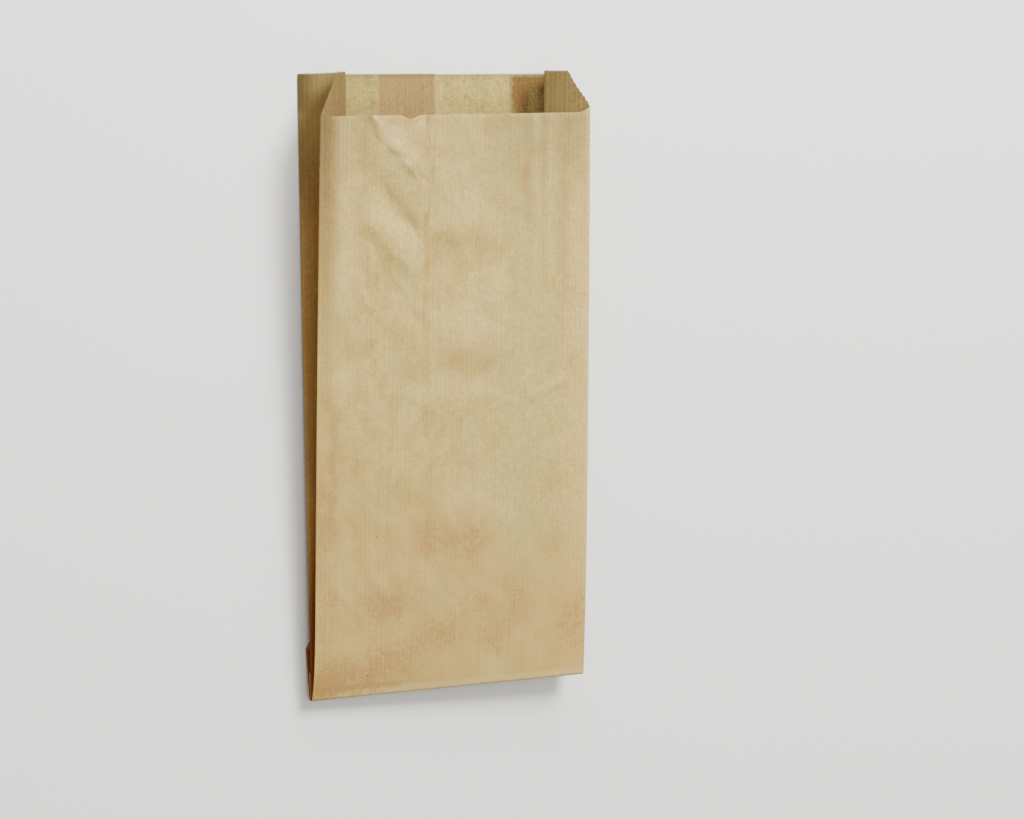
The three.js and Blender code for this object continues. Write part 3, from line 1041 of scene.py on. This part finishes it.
def paper_grains(tree, sheet):
    """The noises of the paper, from clouds of pulp down to single fibres."""
    return {
        "cloud": grain(tree, sheet, size=11.0, stretch=1.3, detail=4.0),
        "moss": grain(tree, sheet, size=17.0, stretch=1.6),
        "mottle": grain(tree, sheet, size=2.4, stretch=1.2),
        "speck": grain(tree, sheet, size=1.1),
        "fibre": grain(tree, sheet, size=0.6, stretch=2.0, detail=2.0),
        "streak": grain(tree, sheet, size=1.5, stretch=40.0, detail=2.0),
    }


# %% Pulp, marks and stain
FRINGE = (0.165, 0.128, 0.047, 1)  # olive, where the stain is thin
CORE = (0.13, 0.062, 0.012, 1)  # dark brown, where it is thick


def marked_pulp(tree, grains, layers, colours):
    """Clouded pulp with its greener and pinker places, pale patches and painted highlights, blotches and
    painted shade, and the painted groove shade.
    """
    blotch, pale = layers["marks"][:2]
    greener, pinker = layers["cast"][:2]
    groove_shaded = layers["painted_shade"][0]
    colour = tint(tree, ramp(tree, grains["cloud"], 0.34, 0.66), colours["dark"], colours["light"])
    colour = tint(tree, ramp(tree, grains["moss"], 0.48, 0.68, 0.0, 0.7), colour, colours["green"])
    colour = tint(tree, greener, colour, colours["green"])
    colour = tint(tree, pinker, colour, colours["pink"])
    colour = tint(tree, pale, colour, colours["pale_and_highlight"])
    edge = calc(tree, "MULTIPLY", blotch, varied(tree, grains["mottle"], 3.4))
    edge = calc(tree, "MULTIPLY", edge, varied(tree, grains["speck"], 3.0))
    colour = tint(tree, ramp(tree, edge, 0.0, 1.15), colour, colours["brown"])
    # Last the painted groove shade, dark and red-brown, deep in the gussets.
    return tint(tree, groove_shaded, colour, colours["groove_shade"])


def stained(tree, grains, stain, colour):
    """The colour with the stain over it, broken up by two noises."""
    specks = calc(tree, "MULTIPLY", calc(tree, "SUBTRACT", grains["speck"], 0.5), 4.0)
    spots = calc(tree, "MULTIPLY", calc(tree, "SUBTRACT", grains["mottle"], 0.5), 3.0)
    edge = calc(tree, "ADD", calc(tree, "ADD", stain, specks), spots)
    on_stain = ramp(tree, stain, 0.0, 0.6)
    fringe = calc(tree, "MULTIPLY", ramp(tree, edge, -0.1, 0.9, 0.0, 0.75), on_stain)
    core = calc(tree, "MULTIPLY", ramp(tree, edge, 0.8, 1.7, 0.0, 0.85), on_stain)
    return tint(tree, core, tint(tree, fringe, colour, FRINGE), CORE)


# %% Ribs, shade and specks of bark
RIB = 2.2  # from one rib to the next
RIB_SHADE = 0.032
PINHOLES = [(-43.0, 9.6), (-39.8, 74.0)]  # dark specks of bark in the front panel
UNEVENNESS = {"streak": 0.22, "mottle": 0.5, "speck": 0.48, "fibre": 0.5}


def bark_specks(tree, shade, across, up):
    """The shade with a dark dot at each speck."""
    for x, y in PINHOLES:
        off_x = calc(tree, "SUBTRACT", across, LEFT_FRONT + HALF + x)
        off_y = calc(tree, "SUBTRACT", up, y)
        squares = calc(tree, "ADD", calc(tree, "POWER", off_x, 2), calc(tree, "POWER", off_y, 2))
        off = calc(tree, "SQRT", squares)
        shade = calc(tree, "MULTIPLY", shade, ramp(tree, off, 0.2, 0.5, 0.25, 1.0))
    return shade


def paper_shade(tree, grains, wave, shaded, uneven):
    """A factor for the colour, with the ribs, the painted shade and the grains in it."""
    shade = calc(tree, "ADD", calc(tree, "MULTIPLY", wave, RIB_SHADE), 1.0)
    shade = calc(tree, "SUBTRACT", shade, shaded)
    for noise, amount in UNEVENNESS.items():
        shade = calc(tree, "MULTIPLY", shade, varied(tree, grains[noise], amount * uneven))
    return shade


# %% [markdown]
# The two sides of the sheet differ: the outside is machine-glazed, lighter and a little glossy, and
# the inside is duller, rougher and more uneven. So one function makes the paper, and it is called
# twice. Bump gives the ribs and fibres a relief that is far too fine for the mesh.

# %% The paper's material
RIB_RELIEF = 0.25  # of the height of the fibres
RELIEF_STRENGTH = 0.25
RELIEF_DEPTH = 0.08 * MM


def kraft_paper(name, colours, shading, uneven, roughness, specular):
    """Ribbed, clouded, fibrous paper with the painted marks on it."""
    paper = bpy.data.materials.new(name)
    paper.use_nodes = True
    tree = paper.node_tree
    shader = tree.nodes["Principled BSDF"]
    uv = tree.nodes.new("ShaderNodeUVMap")
    uv.uv_map = "sheet"
    sheet = uv.outputs[0]
    split = tree.nodes.new("ShaderNodeSeparateXYZ")
    tree.links.new(sheet, split.inputs[0])
    across = calc(tree, "MULTIPLY", split.outputs[0], PER_METRE)
    up = calc(tree, "MULTIPLY", split.outputs[1], PER_METRE)
    layers = {layer: layer_channels(tree, layer) for layer in painted}
    grains = paper_grains(tree, sheet)

    colour = stained(tree, grains, layers["marks"][2], marked_pulp(tree, grains, layers, colours))
    wave = calc(tree, "SINE", calc(tree, "MULTIPLY", across, 2 * pi / RIB))
    shaded = calc(tree, "MULTIPLY", layers["painted_shade"][1], shading)
    shade = bark_specks(tree, paper_shade(tree, grains, wave, shaded, uneven), across, up)
    whole = tree.nodes.new("ShaderNodeVectorMath")
    whole.operation = "SCALE"
    tree.links.new(colour, whole.inputs[0])
    tree.links.new(shade, whole.inputs["Scale"])
    tree.links.new(whole.outputs[0], shader.inputs["Base Color"])

    height = calc(tree, "ADD", calc(tree, "MULTIPLY", wave, RIB_RELIEF), grains["fibre"])
    bump = tree.nodes.new("ShaderNodeBump")
    bump.inputs["Strength"].default_value = RELIEF_STRENGTH
    bump.inputs["Distance"].default_value = RELIEF_DEPTH
    tree.links.new(height, bump.inputs["Height"])
    tree.links.new(bump.outputs[0], shader.inputs["Normal"])
    shader.inputs["Roughness"].default_value = roughness
    shader.inputs["Specular IOR Level"].default_value = specular
    return paper


# %% Outside and inside of the sheet
outside = kraft_paper(
    "kraft_outside",
    colours={
        "light": (0.50, 0.372, 0.113, 1),
        "dark": (0.44, 0.308, 0.081, 1),
        "green": (0.44, 0.352, 0.108, 1),
        "pink": (0.54, 0.368, 0.106, 1),
        # pale and highlight: the paler patches and the painted highlights
        "pale_and_highlight": (0.57, 0.43, 0.155, 1),
        # brown: blotches, painted shade of creases, and the gussets' browner painted shade
        "brown": (0.38, 0.215, 0.058, 1),
        # groove shade: the dark red-brown painted shade deep in the gussets' grooves, for shadow and
        # bounce light
        "groove_shade": (0.235, 0.07, 0.01, 1),
    },
    shading=1.0,
    uneven=1.0,
    roughness=0.65,
    specular=0.3,
)
inside = kraft_paper(
    "kraft_inside",
    colours={
        "light": (0.39, 0.302, 0.09, 1),
        "dark": (0.325, 0.245, 0.068, 1),
        "green": (0.35, 0.288, 0.084, 1),
        "pink": (0.39, 0.302, 0.09, 1),
        # pale and highlight: inside the same as the light pulp
        "pale_and_highlight": (0.39, 0.302, 0.09, 1),
        # brown: blotches, painted shade of creases, and the gussets' browner painted shade
        "brown": (0.35, 0.2, 0.068, 1),
        "groove_shade": (0.235, 0.07, 0.01, 1),
    # groove shade: the dark red-brown painted shade deep in the gussets' grooves, for shadow and bounce
    # light
    },
    shading=1.25,
    uneven=1.6,
    roughness=0.8,
    specular=0.2,
)
bag.data.materials.append(outside)
bag.data.materials.append(inside)
print("materials:", [paper.name for paper in bag.data.materials])

# %% [markdown]
# ## Thickness
#
# The sheet gets its thickness last, with the Solidify modifier. It grows to the inside of the bag,
# away from the faces that point outwards, and the new faces take the second material.

# %% Give the sheet its thickness
SHARP_FROM = radians(35)  # edges with a greater angle stay sharp
bpy.ops.object.select_all(action="DESELECT")
bag.select_set(True)
bpy.context.view_layer.objects.active = bag
wall = bag.modifiers.new("wall", "SOLIDIFY")
wall.thickness = PAPER * MM
wall.offset = -1
wall.material_offset = 1
bpy.ops.object.modifier_apply(modifier=wall.name)
bpy.ops.object.shade_smooth_by_angle(angle=SHARP_FROM)
triangles = sum(len(face.vertices) - 2 for face in bag.data.polygons)
print("the bag has", triangles, "triangles")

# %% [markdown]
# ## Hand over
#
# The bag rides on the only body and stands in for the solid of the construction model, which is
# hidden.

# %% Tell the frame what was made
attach(bag, "root")
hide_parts("paper_bag")
